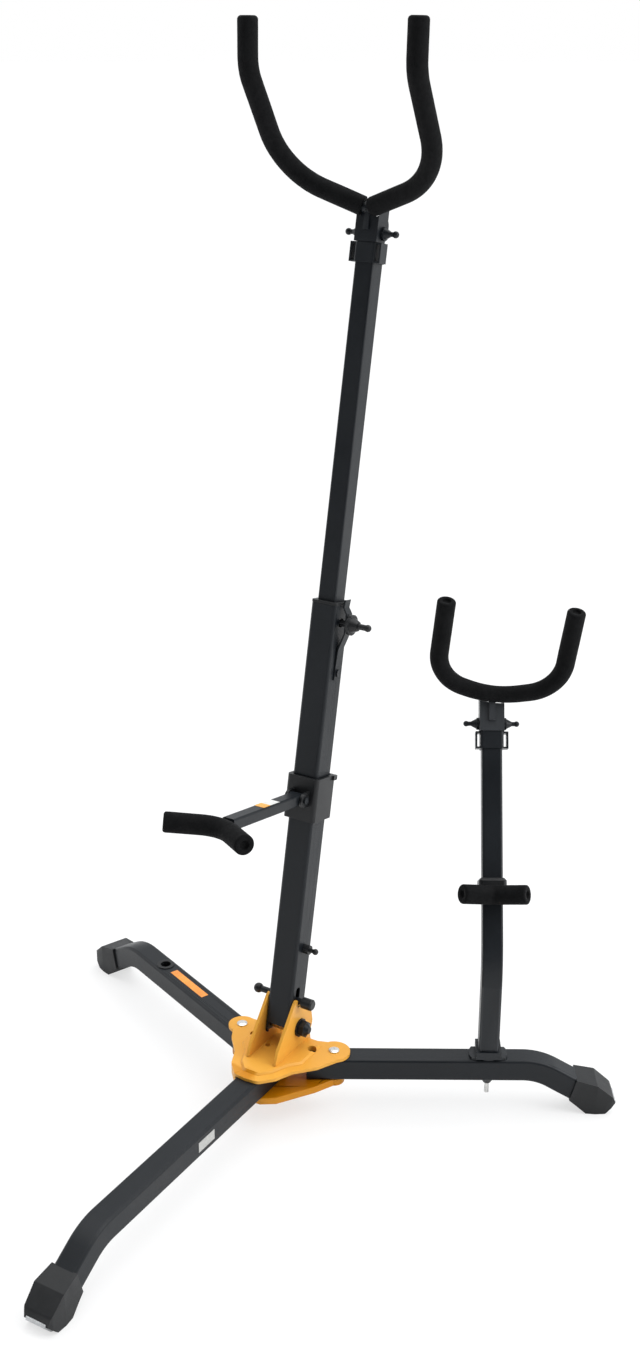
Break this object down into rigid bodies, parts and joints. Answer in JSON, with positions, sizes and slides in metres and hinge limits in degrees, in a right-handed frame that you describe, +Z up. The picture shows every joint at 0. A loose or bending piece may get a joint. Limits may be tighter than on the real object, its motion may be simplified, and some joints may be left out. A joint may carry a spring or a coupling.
{
  "type": "saxophone stand",
  "caption": "Black steel saxophone duo stand: orange hub, three folding legs, leaning mast with padded U yoke and body fork, and a smaller padded stand on one leg.",
  "frame": {"origin": "Centre of the bounding box's footprint, on the floor under the boots.", "axes": "+Z up. +X to the right and +Y to the back of the pictured view. The mast leans back, about 30 degrees right of +Y."},
  "size_m": [0.5302, 0.5708, 0.9694],
  "materials": {
    "black_powder_coat": "satin black powder coat",
    "orange_powder_coat": "semi-gloss orange powder coat",
    "black_foam": "matte closed-cell foam",
    "black_rubber": "satin rubber",
    "black_plastic": "satin moulded plastic",
    "grey_plastic": "satin light grey plastic",
    "zinc": "bright zinc plate",
    "orange_label": "plain printed vinyl band",
    "pale_label": "plain pale vinyl band"
  },
  "bodies": {
    "base": {"hub_upper_bracket": "orange_powder_coat", "hub_lower_plate": "orange_powder_coat", "leg_pivot_rivets": "zinc", "leg_pivot_bushes": "zinc", "front_leg_screw": "zinc", "front_leg_tube": "black_powder_coat", "front_leg_boot": "black_rubber", "front_leg_glide": "grey_plastic", "front_leg_label": "pale_label", "mast_pivot_bolt": "black_powder_coat", "mast_pivot_nut": "black_powder_coat"},
    "right_leg": {"right_leg_tube": "black_powder_coat", "right_leg_boot": "black_rubber", "right_leg_glide": "grey_plastic", "right_leg_button_spring": "zinc"},
    "left_leg": {"left_leg_tube": "black_powder_coat", "left_leg_boot": "black_rubber", "left_leg_glide": "grey_plastic", "left_leg_label": "orange_label", "left_leg_peg_bush": "black_plastic", "left_leg_button_spring": "zinc"},
    "right_button": {"right_leg_button": "black_plastic"},
    "left_button": {"left_leg_button": "black_plastic"},
    "mast_lower": {"mast_lower_tube": "black_powder_coat", "mast_pivot_sleeve": "zinc", "mast_guide_bush": "black_plastic", "height_lock_leaf": "black_powder_coat", "height_lock_leaf_rivet": "black_powder_coat", "mast_stop_pin": "black_plastic"},
    "height_pull": {"height_lock_pull": "black_plastic"},
    "mast_lock": {"mast_lock_pin": "black_powder_coat", "mast_lock_knobs": "black_plastic"},
    "mast_upper": {"mast_upper_tube": "black_powder_coat", "upper_tube_end_plug": "black_plastic", "upper_tube_glide": "black_plastic", "yoke_pin_set": "black_powder_coat"},
    "yoke": {"yoke_bracket": "black_powder_coat", "yoke_rods": "black_powder_coat", "yoke_foam": "black_foam"},
    "yoke_slider": {"yoke_lock_slider": "black_powder_coat"},
    "arm_mount": {"arm_collar": "black_plastic", "arm_collar_liner": "black_plastic", "arm_hinge_pin": "black_powder_coat"},
    "arm": {"arm_tube": "black_powder_coat", "arm_label": "orange_label", "fork_core": "black_powder_coat", "fork_foam": "black_foam"},
    "small_mast": {"small_mast_tube": "black_powder_coat", "small_mast_plug": "black_plastic", "small_mast_saddle": "black_powder_coat", "small_mast_stud": "zinc", "small_yoke_pin_set": "black_powder_coat"},
    "small_nut": {"small_mast_cone_nut": "black_plastic"},
    "small_rest": {"small_collar": "black_plastic", "small_fork": "black_powder_coat", "small_fork_foam": "black_foam"},
    "small_yoke": {"small_yoke_bracket": "black_powder_coat", "small_yoke_rod": "black_powder_coat", "small_yoke_foam": "black_foam"},
    "small_slider": {"small_yoke_lock_slider": "black_powder_coat"}
  },
  "joints": [
    {"name": "right_leg_fold", "type": "hinge", "parent": "base", "child": "right_leg", "pos_m": [-0.00296, 0.02328, 0.045], "axis": [0, 0, 1], "range_deg": [0, 57]},
    {"name": "left_leg_fold", "type": "hinge", "parent": "base", "child": "left_leg", "pos_m": [-0.0924, 0.06685, 0.045], "axis": [0, 0, -1], "range_deg": [0, 66]},
    {"name": "right_button_press", "type": "slide", "parent": "right_leg", "child": "right_button", "axis": [0, 0, -1], "range_m": [0, 0.003], "stiffness_N_per_m": 500, "springref_m": -0.003},
    {"name": "left_button_press", "type": "slide", "parent": "left_leg", "child": "left_button", "axis": [0, 0, -1], "range_m": [0, 0.003], "stiffness_N_per_m": 500, "springref_m": -0.003},
    {"name": "mast_fold", "type": "hinge", "parent": "base", "child": "mast_lower", "pos_m": [-0.04967, 0.03791, 0.08058], "axis": [-0.8625, 0.506, 0], "range_deg": [0, 77]},
    {"name": "mast_lock_lift", "type": "slide", "parent": "mast_lower", "child": "mast_lock", "axis": [0.1052, 0.1793, 0.9781], "range_m": [0, 0.009], "stiffness_N_per_m": 500, "springref_m": -0.004},
    {"name": "mast_height", "type": "slide", "parent": "mast_lower", "child": "mast_upper", "axis": [-0.1052, -0.1793, -0.9781], "range_m": [-0.03, 0.24]},
    {"name": "height_pull_draw", "type": "slide", "parent": "mast_lower", "child": "height_pull", "axis": [0.8625, -0.506, 0], "range_m": [0, 0.006], "stiffness_N_per_m": 500, "springref_m": -0.004},
    {"name": "yoke_fold", "type": "hinge", "parent": "mast_upper", "child": "yoke", "pos_m": [0.02609, 0.16704, 0.79456], "axis": [-0.8625, 0.506, 0], "range_deg": [0, 90]},
    {"name": "yoke_slider_drop", "type": "slide", "parent": "mast_upper", "child": "yoke_slider", "axis": [-0.1052, -0.1793, -0.9781], "range_m": [0, 0.012]},
    {"name": "arm_height", "type": "slide", "parent": "mast_lower", "child": "arm_mount", "axis": [0.1052, 0.1793, 0.9781], "range_m": [-0.118, 0.075]},
    {"name": "arm_fold", "type": "hinge", "parent": "arm_mount", "child": "arm", "pos_m": [-0.03822, 0.05743, 0.30682], "axis": [-0.8625, 0.506, 0], "range_deg": [0, 80]},
    {"name": "small_mast_swivel", "type": "hinge", "parent": "right_leg", "child": "small_mast", "pos_m": [0.14254, 0.02417, 0.058], "axis": [0, 0, 1], "range_deg": [-60, 60]},
    {"name": "small_nut_spin", "type": "hinge", "parent": "small_mast", "child": "small_nut", "pos_m": [0.14254, 0.02417, 0.03], "axis": [0, 0, 1], "continuous": true},
    {"name": "small_rest_height", "type": "slide", "parent": "small_mast", "child": "small_rest", "axis": [0.0045, 0.5188, 0.8549], "range_m": [-0.02, 0.09]},
    {"name": "small_yoke_fold", "type": "hinge", "parent": "small_mast", "child": "small_yoke", "pos_m": [0.14353, 0.13717, 0.3475], "axis": [-1, 0.0087, 0], "range_deg": [0, 80]},
    {"name": "small_slider_drop", "type": "slide", "parent": "small_mast", "child": "small_slider", "axis": [-0.0045, -0.5188, -0.8549], "range_m": [0, 0.01]}
  ]
}
